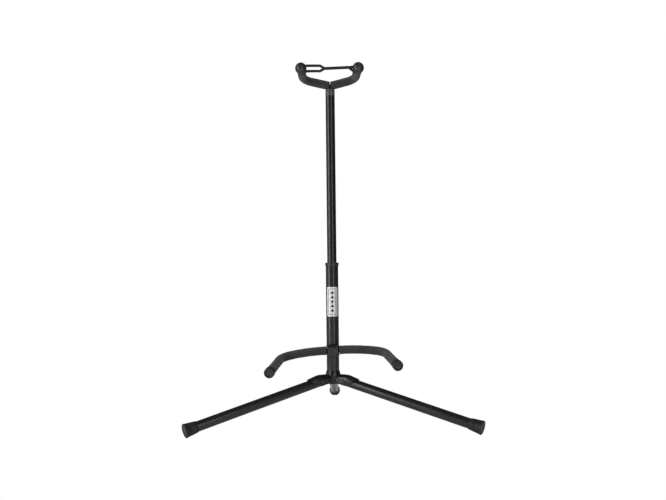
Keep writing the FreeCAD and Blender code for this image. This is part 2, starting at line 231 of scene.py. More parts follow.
def buildDustGroup():  # fine dust that settles on what faces up
    tree, start, end = newGroup("settledDust", [("Scale", 160.0), ("Amount", 0.2)], ["Mask"])
    facing = addNode(tree, "ShaderNodeNewGeometry")
    split = addNode(tree, "ShaderNodeSeparateXYZ")
    tree.links.new(facing.outputs["Normal"], split.inputs[0])
    upward = ranged(tree, split.outputs["Z"], 0.0, 1.0, 0.1, 1.0)
    specks = scaledNoise(tree, start.outputs["Scale"], 6.0, 0.7)
    sharp = ranged(tree, specks.outputs["Fac"], 0.0, 1.0, 0.42, 0.72)
    amount = product(tree, product(tree, upward, sharp), start.outputs["Amount"])
    tree.links.new(amount, end.inputs["Mask"])
    return tree


def buildEdgeGroup():  # rubbed edges: where a rounded normal leaves the flat one
    inputs = [("Radius", 0.0006), ("Amount", 0.5), ("Scale", 300.0)]
    tree, start, end = newGroup("rubbedEdge", inputs, ["Mask"])
    flat = addNode(tree, "ShaderNodeNewGeometry")
    rounded = addNode(tree, "ShaderNodeBevel", samples=6)
    tree.links.new(start.outputs["Radius"], rounded.inputs["Radius"])
    agree = addNode(tree, "ShaderNodeVectorMath", operation="DOT_PRODUCT")
    tree.links.new(flat.outputs["Normal"], agree.inputs[0])
    tree.links.new(rounded.outputs["Normal"], agree.inputs[1])
    edge = ranged(tree, agree.outputs["Value"], 0.0, 1.0, 0.985, 0.86)
    breakUp = scaledNoise(tree, start.outputs["Scale"], 5.0, 0.65)
    patchy = ranged(tree, breakUp.outputs["Fac"], 0.0, 1.0, 0.45, 0.62)
    amount = product(tree, product(tree, edge, patchy), start.outputs["Amount"], use_clamp=True)
    tree.links.new(amount, end.inputs["Mask"])
    return tree


def buildCellGroup():  # closed foam: pits between round cells, and slow lighter and darker stretches
    inputs = [("Scale", 1500.0), ("Depth", 0.6)]
    tree, start, end = newGroup("foamCells", inputs, ["Height", "Pits", "Stretch"])
    place = addNode(tree, "ShaderNodeTexCoord")
    cells = addNode(tree, "ShaderNodeTexVoronoi", {"Randomness": 1.0}, feature="F1")
    tree.links.new(place.outputs["Object"], cells.inputs["Vector"])
    tree.links.new(start.outputs["Scale"], cells.inputs["Scale"])
    pit = ranged(tree, cells.outputs["Distance"], 1.0, 0.0, 0.15, 0.75)
    fuzz = scaledNoise(tree, start.outputs["Scale"], 5.0, 0.7, 0.35)
    blend = addNode(tree, "ShaderNodeMix", data_type="FLOAT")
    tree.links.new(start.outputs["Depth"], blend.inputs["Factor"])
    tree.links.new(fuzz.outputs["Fac"], blend.inputs[2])
    tree.links.new(pit, blend.inputs[3])
    tree.links.new(blend.outputs[0], end.inputs["Height"])
    tree.links.new(pit, end.inputs["Pits"])
    slow = scaledNoise(tree, start.outputs["Scale"], 4.0, 0.6, 0.035)
    tree.links.new(slow.outputs["Fac"], end.inputs["Stretch"])
    return tree


def buildMouldGroup():  # moulded skin: fine spark texture and faint flow marks
    tree, start, end = newGroup("mouldedSkin", [("Scale", 900.0)], ["Height", "Flow"])
    skin = scaledNoise(tree, start.outputs["Scale"], 4.0, 0.55)
    tree.links.new(skin.outputs["Fac"], end.inputs["Height"])
    flow = scaledNoise(tree, start.outputs["Scale"], 3.0, 0.5, 0.05)
    tree.links.new(flow.outputs["Fac"], end.inputs["Flow"])
    return tree


groups = {
    "peel": buildPeelGroup(),
    "dust": buildDustGroup(),
    "edge": buildEdgeGroup(),
    "cells": buildCellGroup(),
    "mould": buildMouldGroup(),
}
print("stage: node groups built")


noiseSpan = (0.3, 0.7)  # where most of a noise's values lie


def startMaterial(name):
    material = bpy.data.materials.new(name)
    material.use_nodes = True
    tree = material.node_tree
    return material, tree, tree.nodes["Principled BSDF"]


def placeGroup(tree, key, **values):
    node = tree.nodes.new("ShaderNodeGroup")
    node.node_tree = groups[key]
    for label, value in values.items():
        node.inputs[label].default_value = value
    return node


def tint(tree, mask, low, high):  # a colour that runs from low to high with the mask
    mix = addNode(tree, "ShaderNodeMix", data_type="RGBA")
    if isinstance(low, tuple):
        mix.inputs[6].default_value = (*low, 1)
    else:
        tree.links.new(low, mix.inputs[6])
    mix.inputs[7].default_value = (*high, 1)
    tree.links.new(mask, mix.inputs["Factor"])
    return mix.outputs[2]


def addBump(tree, shader, height, strength, distance):
    bump = addNode(tree, "ShaderNodeBump", {"Strength": strength, "Distance": distance})
    tree.links.new(height, bump.inputs["Height"])
    tree.links.new(bump.outputs["Normal"], shader.inputs["Normal"])


coatLook = {
    "colour": (0.0075, 0.0075, 0.0072), "mottled": (0.0105, 0.0104, 0.0099),
    "rubbed": (0.055, 0.054, 0.052), "rough": (0.27, 0.34), "shine": 0.5,
    "peelScale": 420.0, "grit": 0.35, "bump": 0.12, "bumpDeep": 0.0003,
    "edgeRadius": 0.0007, "edgeAmount": 0.75, "edgeScale": 260.0,
    "dust": (0.12, 0.117, 0.108), "dustScale": 150.0, "dustAmount": 0.10,
}


def coatedSteel(name, look):
    material, tree, shader = startMaterial(name)
    peel = placeGroup(tree, "peel", Scale=look["peelScale"], Grit=look["grit"])
    dust = placeGroup(tree, "dust", Scale=look["dustScale"], Amount=look["dustAmount"])
    edge = placeGroup(
        tree, "edge", Radius=look["edgeRadius"], Amount=look["edgeAmount"], Scale=look["edgeScale"])
    ground = tint(tree, peel.outputs["Mottle"], look["colour"], look["mottled"])
    rubbed = tint(tree, edge.outputs["Mask"], ground, look["rubbed"])
    dusty = tint(tree, dust.outputs["Mask"], rubbed, look["dust"])
    tree.links.new(dusty, shader.inputs["Base Color"])
    rough = ranged(tree, peel.outputs["Mottle"], *look["rough"], *noiseSpan)
    tree.links.new(rough, shader.inputs["Roughness"])
    shader.inputs["Specular IOR Level"].default_value = look["shine"]
    addBump(tree, shader, peel.outputs["Height"], look["bump"], look["bumpDeep"])
    return material


def mouldedPart(name, look):
    material, tree, shader = startMaterial(name)
    skin = placeGroup(tree, "mould", Scale=look["scale"])
    dust = placeGroup(tree, "dust", Scale=look["dustScale"], Amount=look["dustAmount"])
    ground = tint(tree, skin.outputs["Flow"], look["colour"], look["flow"])
    dusty = tint(tree, dust.outputs["Mask"], ground, look["dust"])
    tree.links.new(dusty, shader.inputs["Base Color"])
    rough = ranged(tree, skin.outputs["Flow"], *look["rough"], *noiseSpan)
    tree.links.new(rough, shader.inputs["Roughness"])
    shader.inputs["Specular IOR Level"].default_value = look["shine"]
    addBump(tree, shader, skin.outputs["Height"], look["bump"], look["bumpDeep"])
    return material


nylonLook = {
    "colour": (0.013, 0.013, 0.0125), "flow": (0.019, 0.019, 0.018), "rough": (0.38, 0.5), "shine": 0.5,
    "scale": 900.0, "bump": 0.16, "bumpDeep": 0.0002,
    "dust": (0.15, 0.147, 0.138), "dustScale": 190.0, "dustAmount": 0.08,
}
footLook = dict(
    nylonLook, colour=(0.008, 0.008, 0.008), flow=(0.014, 0.014, 0.0137), rough=(0.5, 0.62),
    shine=0.4, scale=700.0, bump=0.3, dustAmount=0.12)
ballLook = dict(
    nylonLook, colour=(0.013, 0.013, 0.012), flow=(0.021, 0.021, 0.019), rough=(0.34, 0.42),
    scale=1100.0, bump=0.14, dustAmount=0.1)
strapLook = dict(
    nylonLook, colour=(0.012, 0.012, 0.0125), flow=(0.017, 0.017, 0.0175), rough=(0.42, 0.55),
    shine=0.42, scale=1000.0, bump=0.14)

# the pit colour and its amount are painted shade laid into the pits between the foam cells
foamLook = {
    "colour": (0.02, 0.02, 0.0195), "worn": (0.042, 0.042, 0.04), "pit": (0.006, 0.006, 0.006),
    "rough": (0.74, 0.9), "roughSpan": (0.35, 0.65), "wornSpan": (0.38, 0.68),
    "shine": 0.4, "sheen": 0.12, "sheenRough": 0.6,
    "scale": 1500.0, "depth": 0.6, "pitDark": 0.55, "bump": 0.5, "bumpDeep": 0.00035,
    "dust": (0.17, 0.168, 0.16), "dustScale": 220.0, "dustAmount": 0.16,
}


def foamRubber(name, look):
    material, tree, shader = startMaterial(name)
    cells = placeGroup(tree, "cells", Scale=look["scale"], Depth=look["depth"])
    dust = placeGroup(tree, "dust", Scale=look["dustScale"], Amount=look["dustAmount"])
    slow = ranged(tree, cells.outputs["Stretch"], 0.0, 1.0, *look["wornSpan"])
    ground = tint(tree, slow, look["colour"], look["worn"])
    # painted shade: the colour darkens towards the pit colour in the pits between the cells
    pitShadeMask = ranged(tree, cells.outputs["Pits"], look["pitDark"], 0.0, 0.0, look["pitDark"])
    pitShaded = tint(tree, pitShadeMask, ground, look["pit"])
    dusty = tint(tree, dust.outputs["Mask"], pitShaded, look["dust"])
    tree.links.new(dusty, shader.inputs["Base Color"])
    rough = ranged(tree, cells.outputs["Stretch"], *look["rough"], *look["roughSpan"])
    tree.links.new(rough, shader.inputs["Roughness"])
    shader.inputs["Specular IOR Level"].default_value = look["shine"]
    shader.inputs["Sheen Weight"].default_value = look["sheen"]
    shader.inputs["Sheen Roughness"].default_value = look["sheenRough"]
    addBump(tree, shader, cells.outputs["Height"], look["bump"], look["bumpDeep"])
    return material


plateLook = {
    "colour": (0.52, 0.52, 0.5), "mottled": (0.62, 0.62, 0.6), "rubbed": (0.75, 0.75, 0.74),
    "rough": (0.24, 0.4), "peelScale": 600.0, "grit": 0.6, "bump": 0.1, "bumpDeep": 0.0002,
    "edgeRadius": 0.0004, "edgeAmount": 0.6, "edgeScale": 500.0,
}


def platedSteel(name, look):
    material, tree, shader = startMaterial(name)
    skin = placeGroup(tree, "peel", Scale=look["peelScale"], Grit=look["grit"])
    edge = placeGroup(
        tree, "edge", Radius=look["edgeRadius"], Amount=look["edgeAmount"], Scale=look["edgeScale"])
    ground = tint(tree, skin.outputs["Mottle"], look["colour"], look["mottled"])
    bright = tint(tree, edge.outputs["Mask"], ground, look["rubbed"])
    tree.links.new(bright, shader.inputs["Base Color"])
    shader.inputs["Metallic"].default_value = 1.0
    rough = ranged(tree, skin.outputs["Mottle"], *look["rough"], *noiseSpan)
    tree.links.new(rough, shader.inputs["Roughness"])
    addBump(tree, shader, skin.outputs["Height"], look["bump"], look["bumpDeep"])
    return material


socketLook = dict(
    coatLook, colour=(0.06, 0.06, 0.056), mottled=(0.1, 0.1, 0.094), rubbed=(0.25, 0.25, 0.24),
    rough=(0.3, 0.42))
rivetLook = dict(
    coatLook, colour=(0.016, 0.016, 0.015), mottled=(0.024, 0.024, 0.022), rubbed=(0.2, 0.2, 0.19),
    rough=(0.28, 0.38))

labelLook = {  # the frame's and the marks' measures are shares of the label's height
    "paper": (0.7, 0.7, 0.685), "ink": (0.012, 0.012, 0.014), "border": 0.058, "line": 0.014, "tone": 0.94,
    "halfWide": 0.18, "halfTall": 0.5, "markPitch": 0.15, "markReach": 0.36, "mark": 0.052,
    "scale": 500.0, "rough": (0.2, 0.3), "coat": 0.4, "coatRough": 0.12, "bump": 0.04, "bumpDeep": 0.0001,
}


def printedLabel(name, look):  # plain frame and a row of diamonds, in the sheet's own coordinates
    material, tree, shader = startMaterial(name)
    place = addNode(tree, "ShaderNodeUVMap", uv_map="sheet")
    split = addNode(tree, "ShaderNodeSeparateXYZ")
    tree.links.new(place.outputs["UV"], split.inputs[0])

    def calc(operation, first, second=None):
        node = addNode(tree, "ShaderNodeMath", operation=operation)
        for slot, value in enumerate((first, second)):
            if isinstance(value, (int, float)):
                node.inputs[slot].default_value = value
            elif value is not None:
                tree.links.new(value, node.inputs[slot])
        return node.outputs[0]

    fromMiddle = calc("ABSOLUTE", calc("SUBTRACT", split.outputs["X"], 0.5))
    across = calc("MULTIPLY", fromMiddle, 2 * look["halfWide"])
    along = calc("ABSOLUTE", calc("SUBTRACT", split.outputs["Y"], 0.5))
    frameX = calc("SUBTRACT", look["halfWide"] - look["border"], across)
    frameY = calc("SUBTRACT", look["halfTall"] - look["border"], along)
    nearest = calc("MINIMUM", frameX, frameY)
    inFrame = calc("MULTIPLY", calc("GREATER_THAN", nearest, 0.0), calc("LESS_THAN", nearest, look["line"]))
    toMark = calc("PINGPONG", along, look["markPitch"] / 2)
    diamond = calc("LESS_THAN", calc("ADD", across, toMark), look["mark"])
    diamond = calc("MULTIPLY", diamond, calc("LESS_THAN", along, look["markReach"]))
    ink = calc("MAXIMUM", inFrame, diamond)
    skin = placeGroup(tree, "mould", Scale=look["scale"])
    paper = tint(tree, skin.outputs["Flow"], look["paper"], tuple(look["tone"] * c for c in look["paper"]))
    printed = tint(tree, ink, paper, look["ink"])
    tree.links.new(printed, shader.inputs["Base Color"])
    rough = ranged(tree, skin.outputs["Flow"], *look["rough"])
    tree.links.new(rough, shader.inputs["Roughness"])
    shader.inputs["Coat Weight"].default_value = look["coat"]
    shader.inputs["Coat Roughness"].default_value = look["coatRough"]
    addBump(tree, shader, skin.outputs["Height"], look["bump"], look["bumpDeep"])
    return material


finishes = {
    "black_coat": coatedSteel("blackPowderCoat", coatLook),
    "dark_steel": coatedSteel("blackenedRivet", rivetLook),
    "grey_collar": coatedSteel("greySocketCoat", socketLook),
    "black_nylon": mouldedPart("mouldedNylon", nylonLook),
    "foot_rubber": mouldedPart("footRubber", footLook),
    "ball_rubber": mouldedPart("ballRubber", ballLook),
    "strap_rubber": mouldedPart("strapRubber", strapLook),
    "foam": foamRubber("charcoalFoam", foamLook),
    "plated_steel": platedSteel("zincPlate", plateLook),
    "white_label": printedLabel("whiteSticker", labelLook),
}
slotOf = {part["node"]: part["material_slot"] for part in frame["record"]["subparts"]}
bodies = frame["record"]["behaviour"]["bodies"]
bodyOf = {node: body for body, members in bodies.items() for node in members}


def finishCadNodes():
    for name, piece in nodes.items():
        piece.data.materials.clear()
        piece.data.materials.append(finishes[slotOf[name]])


finishCadNodes()
print("stage: materials set")


def addPiece(name, mesh, node, replaced=True):
    piece = bpy.data.objects.new(name, mesh)
    bpy.context.scene.collection.objects.link(piece)
    mesh.materials.clear()
    mesh.materials.append(finishes[slotOf[node]])
    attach(piece, bodyOf[node])
    if replaced:
        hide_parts(node)
    return piece


def applyModifiers(piece):
    shape = piece.evaluated_get(bpy.context.evaluated_depsgraph_get())
    finished = bpy.data.meshes.new_from_object(shape)
    piece.modifiers.clear()
    old = piece.data
    piece.data = finished
    bpy.data.meshes.remove(old)


rounding = {"join": 0.000004, "flat": 1.0, "segments": 3, "sharper": 28, "crease": 40}


def weldedCopy(node):  # the node's shape with its split corners joined, so that its edges can be rounded
    shape = bmesh.new()
    shape.from_mesh(nodes[node].data)
    bmesh.ops.remove_doubles(shape, verts=shape.verts, dist=rounding["join"])
    flatAngle = math.radians(rounding["flat"])
    bmesh.ops.dissolve_limit(shape, angle_limit=flatAngle, verts=shape.verts, edges=shape.edges)
    mesh = bpy.data.meshes.new(node + "Rounded")
    shape.to_mesh(mesh)
    shape.free()
    return mesh


def roundedEdges(node, width):
    name = "".join(word.capitalize() for word in node.split("_"))
    piece = addPiece(name[0].lower() + name[1:], weldedCopy(node), node)
    bevel = piece.modifiers.new("edges", "BEVEL")
    bevel.width = width * millimetre
    bevel.segments = rounding["segments"]
    bevel.limit_method = "ANGLE"
    bevel.angle_limit = math.radians(rounding["sharper"])
    bevel.use_clamp_overlap = True
    bevel.harden_normals = False
    applyModifiers(piece)
    smoothShade(piece, rounding["crease"])


def smoothShade(piece, angle=None):
    for face in piece.data.polygons:
        face.use_smooth = True
    if angle:
        piece.data.set_sharp_from_angle(angle=math.radians(angle))


def bentPath(points, bends, step=0.0008):  # (place, inward pull) pairs on straight runs and tangent arcs
    samples = []
    start = points[0]

    def addRun(first, last):
        count = max(2, int((last - first).length / step))
        for index in range(count):
            samples.append((first.lerp(last, index / count), Vector()))

    for before, corner, after, radius in zip(points, points[1:], points[2:], bends):
        back = (before - corner).normalized()
        ahead = (after - corner).normalized()
        half = back.angle(ahead) / 2
        reach = radius / math.tan(half)
        inward = (back + ahead).normalized()
        middle = corner + inward * (radius / math.sin(half))
        first = corner + back * reach
        last = corner + ahead * reach
        addRun(start, first)
        sweep = math.pi - 2 * half
        count = max(3, int(radius * sweep / step))
        axis = back.cross(ahead).normalized()
        for index in range(count):
            spoke = Matrix.Rotation(-sweep * index / count, 3, axis) @ (first - middle)
            samples.append((middle + spoke, -spoke.normalized()))
        start = last
    addRun(start, points[-1])
    samples.append((points[-1].copy(), Vector()))
    return samples


def pathFrames(samples):  # distance along, place, tangent, two carried directions and pull at each sample
    frames = []
    travelled = 0.0
    side = None
    for index, (place, pull) in enumerate(samples):
        ahead = samples[min(index + 1, len(samples) - 1)][0]
        behind = samples[max(index - 1, 0)][0]
        tangent = (ahead - behind).normalized()
        if side is None:
            side = tangent.orthogonal().normalized()
        side = (side - tangent * side.dot(tangent)).normalized()
        if index:
            travelled += (place - samples[index - 1][0]).length
        frames.append((travelled, place, tangent, side, tangent.cross(side), pull))
    return frames


def sleeveMesh(name, frames, outline, around, shapeRadius):  # a ring for each (distance, radius) pair
    shape = bmesh.new()
    rings = []
    cursor = 0
    for distance, radius in outline:
        while cursor < len(frames) - 2 and frames[cursor + 1][0] < distance:
            cursor += 1
        while cursor > 0 and frames[cursor][0] > distance:
            cursor -= 1
        low, high = frames[cursor], frames[cursor + 1]
        share = (distance - low[0]) / max(high[0] - low[0], 1e-9)
        place = low[1].lerp(high[1], share)
        sideA = low[3].lerp(high[3], share).normalized()
        sideB = low[4].lerp(high[4], share).normalized()
        pull = low[5].lerp(high[5], share)
        ring = []
        for index in range(around):
            turn = 2 * math.pi * index / around
            spoke = sideA * math.cos(turn) + sideB * math.sin(turn)
            ring.append(shape.verts.new(place + spoke * shapeRadius(distance, radius, spoke, pull)))
        rings.append(ring)
    for first, second in zip(rings, rings[1:]):
        for index in range(around):
            after = (index + 1) % around
            shape.faces.new((first[index], first[after], second[after], second[index]))
    mesh = bpy.data.meshes.new(name)
    bmesh.ops.recalc_face_normals(shape, faces=shape.faces)
    shape.to_mesh(mesh)
    shape.free()
    return mesh


def lathedMesh(name, place, along, outline, around, floorAt=None):  # turned from (distance, radius) pairs
    along = along.normalized()
    sideA = along.orthogonal().normalized()
    sideB = along.cross(sideA)
    shape = bmesh.new()
    rings = []
    for distance, radius in outline:
        centre = place + along * distance
        if radius < 1e-7:
            rings.append([shape.verts.new(centre)])
            continue
        ring = []
        for index in range(around):
            turn = 2 * math.pi * index / around
            spot = centre + (sideA * math.cos(turn) + sideB * math.sin(turn)) * radius
            if floorAt is not None and spot.z < floorAt:
                spot.z = floorAt
            ring.append(shape.verts.new(spot))
        rings.append(ring)
    for first, second in zip(rings, rings[1:]):
        for index in range(around):
            after = (index + 1) % around
            corners = [first[index % len(first)], first[after % len(first)],
                       second[after % len(second)], second[index % len(second)]]
            unique = list(dict.fromkeys(corners))
            if len(unique) > 2:
                shape.faces.new(unique)
    bmesh.ops.recalc_face_normals(shape, faces=shape.faces)
    mesh = bpy.data.meshes.new(name)
    shape.to_mesh(mesh)
    shape.free()
    return mesh


def arcPoints(centre, radius, fromAngle, toAngle, steps):  # pairs on an arc in the outline, in degrees
    points = []
    for index in range(steps + 1):
        turn = math.radians(fromAngle + (toAngle - fromAngle) * index / steps)
        points.append((centre[0] + radius * math.cos(turn), centre[1] + radius * math.sin(turn)))
    return points


foam = {
    "radius": 8.65, "bore": 4.05, "edge": 1.0, "around": 72, "step": 0.9, "squeeze": 0.25,
    "wave": 0.16, "waveAround": 1.3, "waveAlong": 90,
    "crease": 0.42, "creasePitch": 3.1, "endSwell": 0.45, "swellShare": 0.28, "fill": 0.9, "smooth": 50,
}
yokeArms = {  # root, corner and tip of each arm: right, forward, height
    "left": [(0, 0, 685.9), (-55.4, 11, 695.8), (-57.2, 72, 699.6)],
    "right": [(0, 0, 685.9), (52.0, 11, 696.0), (56.4, 72, 699.3)],
}
yoke = {"bend": 23.0, "foamStart": 2.5, "seed": 2.0, "creases": 1.0}
cradle = {
    "forward": 20.0, "height": 140.3, "roll": 2.6, "shift": 0.1, "knee": 50.0, "kneeBend": 300.0,
    "corner": (102.3, 28.0, 133.0), "cornerBend": 28.0, "tip": (118.8, 133.0, 115.2),
    "capLength": 13.0, "foamStart": 13.15, "seed": 7.0, "creases": 0.8,
}


def foamRadius(seed, creases):
    def radiusAt(distance, radius, spoke, pull):
        if radius < foam["bore"] * millimetre * 1.05:
            return radius
        wobble = noise.noise(spoke * foam["waveAround"] + Vector((distance * foam["waveAlong"], seed, 0)))
        wobble *= foam["wave"] * millimetre
        inside = max(0.0, spoke.dot(pull))
        ripple = 0.5 + 0.5 * math.sin(2 * math.pi * distance / (foam["creasePitch"] * millimetre) + seed)
        crease = creases * foam["crease"] * millimetre * inside ** 2 * ripple
        squeeze = foam["squeeze"] * millimetre * pull.length * abs(spoke.dot(pull))  # the bend flattens it
        return radius + wobble - crease - squeeze
    return radiusAt


def foamOutline(start, end, swellAtEnd):
    bore, edge = foam["bore"] * millimetre, foam["edge"] * millimetre
    radius = foam["radius"] * millimetre
    swell = swellAtEnd * foam["endSwell"] * millimetre
    rows = [(start + edge * 0.5, bore), (start + edge * 0.12, bore + edge * 0.5)]
    rows += arcPoints((start + edge, radius - edge), edge, 180, 90, 5)
    steps = int((end - start) / (foam["step"] * millimetre))
    for index in range(1, steps):
        share = index / steps
        grown = swell * max(0.0, (share - 1 + foam["swellShare"]) / foam["swellShare"]) ** 2
        rows.append((start + edge + (end - start - 2 * edge) * share, radius + grown))
    rows += arcPoints((end - edge, radius + swell - edge), edge, 90, 0, 5)
    rows += [(end - edge * 0.12, bore + edge * 0.5), (end - edge * 0.5, bore)]
    return rows


def addYokeFoam():
    for seed, (name, points) in enumerate(yokeArms.items()):
        corners = [fromMast(*p) for p in points]
        samples = bentPath(corners, [yoke["bend"] * millimetre])
        frames = pathFrames(samples)
        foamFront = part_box("yoke_foam_" + name)[0].y
        end = max(row[0] for row in frames if row[1].y > foamFront)
        outline = foamOutline(yoke["foamStart"] * millimetre, end, 0.0)
        radiusAt = foamRadius(seed + yoke["seed"], yoke["creases"])
        mesh = sleeveMesh("yokeFoam", frames, outline, foam["around"], radiusAt)
        piece = addPiece("yokeFoam" + name.capitalize(), mesh, "yoke_foam_" + name)
        smoothShade(piece, foam["smooth"])


def cradlePoint(side, x, forward, height):  # a level, centred point, shifted and rolled as the bar sits
    local = Vector((side * x + cradle["shift"], -forward, height - cradle["height"]))
    rolled = Matrix.Rotation(math.radians(cradle["roll"]), 3, Vector((0, -1, 0))) @ local
    return fromMast(rolled.x, -rolled.y, rolled.z + cradle["height"])


def cradleArm(side, start, stopShort):
    points = [cradlePoint(side, start, cradle["forward"], cradle["height"]),
              cradlePoint(side, cradle["knee"], cradle["forward"], cradle["height"]),
              cradlePoint(side, *cradle["corner"]), cradlePoint(side, *cradle["tip"])]
    points[-1] += (points[-2] - points[-1]).normalized() * stopShort * millimetre
    return points


def addCradleFoam():
    for seed, (name, side) in enumerate((("left", -1), ("right", 1))):
        points = cradleArm(side, cradle["foamStart"], cradle["capLength"])
        bends = [cradle["kneeBend"] * millimetre, cradle["cornerBend"] * millimetre]
        frames = pathFrames(bentPath(points, bends))
        outline = foamOutline(0.0, frames[-1][0], 1.0)
        radiusAt = foamRadius(seed + cradle["seed"], cradle["creases"])
        mesh = sleeveMesh("cradleFoam", frames, outline, foam["around"], radiusAt)
        piece = addPiece("cradleFoam" + name.capitalize(), mesh, "cradle_foam_" + name)
        smoothShade(piece, foam["smooth"])


addYokeFoam()
addCradleFoam()
print("stage: foam sleeves made")


ball = {
    "radius": 11.3, "back": 7.5, "edge": 1.2, "neck": 4.05, "neckEdge": 0.4, "neckStep": 0.6,
    "neckDeep": 3.0, "arcSteps": 40, "around": 96, "smooth": 60, "fill": 1.0,
    "groove": 0.096, "grooveWide": 0.02,
}


def addBalls():
    radius, back, edge, neck, neckEdge, neckStep, neckDeep = (
        ball[key] * millimetre for key in (
            "radius", "back", "edge", "neck", "neckEdge", "neckStep", "neckDeep"))
    rim = math.sqrt(radius ** 2 - back ** 2)
    backAngle = math.degrees(math.atan2(rim, back))
    for name, points in yokeArms.items():
        tip = fromMast(*points[2])
        outline = [(-radius, 0.0)]
        outline += arcPoints((0, 0), radius, 178.5, backAngle + 7, ball["arcSteps"])
        outline += [(back - edge * 0.35, rim - edge * 0.1), (back, rim - edge)]
        outline += [(back, neck + neckEdge), (back - neckStep, neck), (back - neckDeep, 0.0)]
        mesh = lathedMesh("yokeBall", tip, Vector((0, 1, 0)), outline, ball["around"])
        for vertex in mesh.vertices:
            offset = vertex.co - tip
            if offset.length > radius * 0.9:
                across = abs(offset.z) / radius
                groove = ball["groove"] * millimetre * math.exp(-(across / ball["grooveWide"]) ** 2)
                vertex.co -= offset.normalized() * groove  # the mould's joint leaves a fine groove
        piece = addPiece("yokeBall" + name.capitalize(), mesh, "yoke_ball_" + name)
        smoothShade(piece, ball["smooth"])


cap = {
    "radius": 9.9, "length": 13.0, "lip": 2.0, "recess": 7.2, "recessDeep": 3.6, "flare": 0.3, "mouth": 0.8,
    "grooves": (0.45, 0.62), "grooveHalf": 0.5, "grooveDeep": 0.3, "boreDeep": 2.0, "around": 80,
    "smooth": 50,
}


def addCaps():
    radius, length, lip, recess, deep, flare, mouth, half, grooveDeep, boreDeep = (
        cap[key] * millimetre for key in (
            "radius", "length", "lip", "recess", "recessDeep", "flare", "mouth", "grooveHalf", "grooveDeep",
            "boreDeep"))
    outline = [(deep, 0.0), (deep * 0.96, recess * 0.6), (deep * 0.75, recess * 0.92), (deep * 0.3, recess)]
    outline += [(deep * 0.08, recess + flare), (0.0, recess + mouth)]
    outline += arcPoints((lip, radius - lip), lip, 180, 90, 6)
    for share in cap["grooves"]:
        groove = length * share
        outline += [(groove - half, radius), (groove, radius - grooveDeep), (groove + half, radius)]
    outline += arcPoints((length - lip, radius - lip), lip, 90, 0, 6)
    outline += [(length, foam["bore"] * millimetre), (length - boreDeep, 0.0)]
    for name, side in (("left", -1), ("right", 1)):
        corner, tip = cradleArm(side, 0, 0)[-2:]
        mesh = lathedMesh("cradleCap", tip, corner - tip, outline, cap["around"])
        piece = addPiece("cradleCap" + name.capitalize(), mesh, "cradle_cap_" + name)
        smoothShade(piece, cap["smooth"])


foot = {
    "reach": 308.6, "slope": 13.39, "wear": 1.05, "length": 24.6, "endRadius": 13.1, "mouthRadius": 10.35,
    "endRound": 1.1, "dish": 0.8, "dishEdge": 0.5, "ribs": (6.0, 9.0, 12.0), "ribHalf": 0.6,
    "ribFloor": 0.3, "ribDeep": 0.22, "lipStart": 3.2, "lipTop": 2.4, "lipHigh": 0.12, "lipLow": 0.1,
    "lipEdge": 0.6,
    "bore": 9.55, "boreDeep": 4.0, "around": 96, "smooth": 45,
}
legTurns = {"left": 210.0, "right": 330.0, "rear": 89.4}


def footOutline():
    end, mouth, length, soft, dish, dishEdge = (
        foot[key] * millimetre for key in (
            "endRadius", "mouthRadius", "length", "endRound", "dish", "dishEdge"))
    half, floor, deep, lipStart, lipTop, lipHigh, lipLow, lipEdge, bore, boreDeep = (
        foot[key] * millimetre for key in (
            "ribHalf", "ribFloor", "ribDeep", "lipStart", "lipTop", "lipHigh", "lipLow", "lipEdge", "bore",
            "boreDeep"))

    def wall(distance):
        return end + (mouth - end) * distance / length

    rows = [(dish, 0.0), (dish, end * 0.62), (dishEdge, end * 0.68), (0.0, end * 0.72)]
    rows += arcPoints((soft, end - soft), soft, 180, 90, 6)
    for rib in foot["ribs"]:
        spot = rib * millimetre
        high, low = wall(spot), wall(spot) - deep
        rows += [(spot - half, high), (spot - floor, low), (spot + floor, low), (spot + half, high)]
    rows += [(length - lipStart, wall(length - lipStart)), (length - lipTop, mouth + lipHigh)]
    rows += [(length - lipEdge, mouth + lipLow), (length, mouth - lipEdge), (length, bore)]
    return rows + [(length - boreDeep, bore)]


def addFeet():
    slope = math.radians(foot["slope"])
    height = foot["endRadius"] * math.cos(slope) - foot["wear"]
    for name, turn in legTurns.items():
        right, back = math.cos(math.radians(turn)), math.sin(math.radians(turn))
        outward = Vector((right * math.cos(slope), back * math.cos(slope), -math.sin(slope)))
        centre = fromMast(foot["reach"] * right, -foot["reach"] * back, height)
        mesh = lathedMesh("legFoot", centre, -outward, footOutline(), foot["around"], floorAt=0.0)
        piece = addPiece("foot" + name.capitalize(), mesh, "foot_" + name)
        smoothShade(piece, foot["smooth"])


strap = {"voxel": 0.42, "softness": 0.5, "smoothing": 5}


def addStrap():
    mesh = weldedCopy("security_strap")
    piece = addPiece("securityStrap", mesh, "security_strap")
    skin = piece.modifiers.new("skin", "REMESH")
    skin.mode = "VOXEL"
    skin.voxel_size = strap["voxel"] * millimetre
    soften = piece.modifiers.new("soften", "SMOOTH")
    soften.factor = strap["softness"]
    soften.iterations = strap["smoothing"]
    applyModifiers(piece)
    piece.data.materials.clear()
    piece.data.materials.append(finishes["strap_rubber"])
    smoothShade(piece)


addBalls()
addCaps()
addFeet()
addStrap()
print("stage: rubber parts made")


label = {
    "width": 20.6, "corner": 1.6, "lift": 0.02, "proud": 0.22, "columns": 40, "rows": 60, "smooth": 40,
}


def roundRadius(node):  # of a round part that runs front to back or up and down
    low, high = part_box(node)
    return (high.x - low.x) / 2


